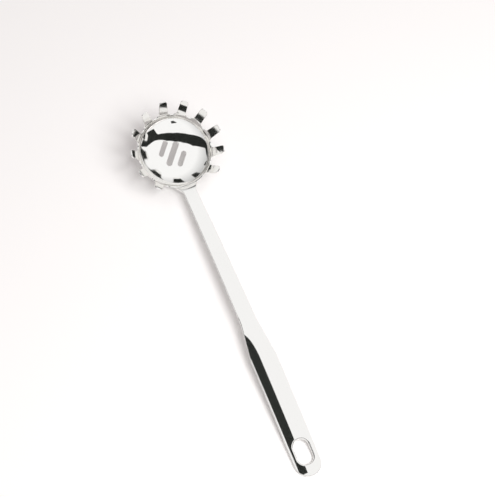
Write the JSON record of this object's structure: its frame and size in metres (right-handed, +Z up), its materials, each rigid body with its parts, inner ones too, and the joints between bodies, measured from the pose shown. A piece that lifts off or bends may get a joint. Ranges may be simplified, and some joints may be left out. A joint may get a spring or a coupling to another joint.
{
  "type": "pasta server",
  "caption": "Long-handled stainless steel pasta server: slotted bowl ringed with tines, welded to a flat strap handle with a crowned grip and a hanging hole.",
  "frame": {"origin": "middle of the object's box, at the height of the table it lies on", "axes": "+Y along the object from the grip's round end to the bowl, +Z up out of the bowl's mouth, +X to the right when seen from above with the bowl away from the viewer"},
  "size_m": [0.0812, 0.3412, 0.0507],
  "materials": {
    "polished_steel": "mirror-polished 18/10 stainless steel sheet"
  },
  "bodies": {
    "root": {"claw_bowl": "polished_steel", "handle": "polished_steel", "spot_welds": "polished_steel"}
  },
  "joints": []
}
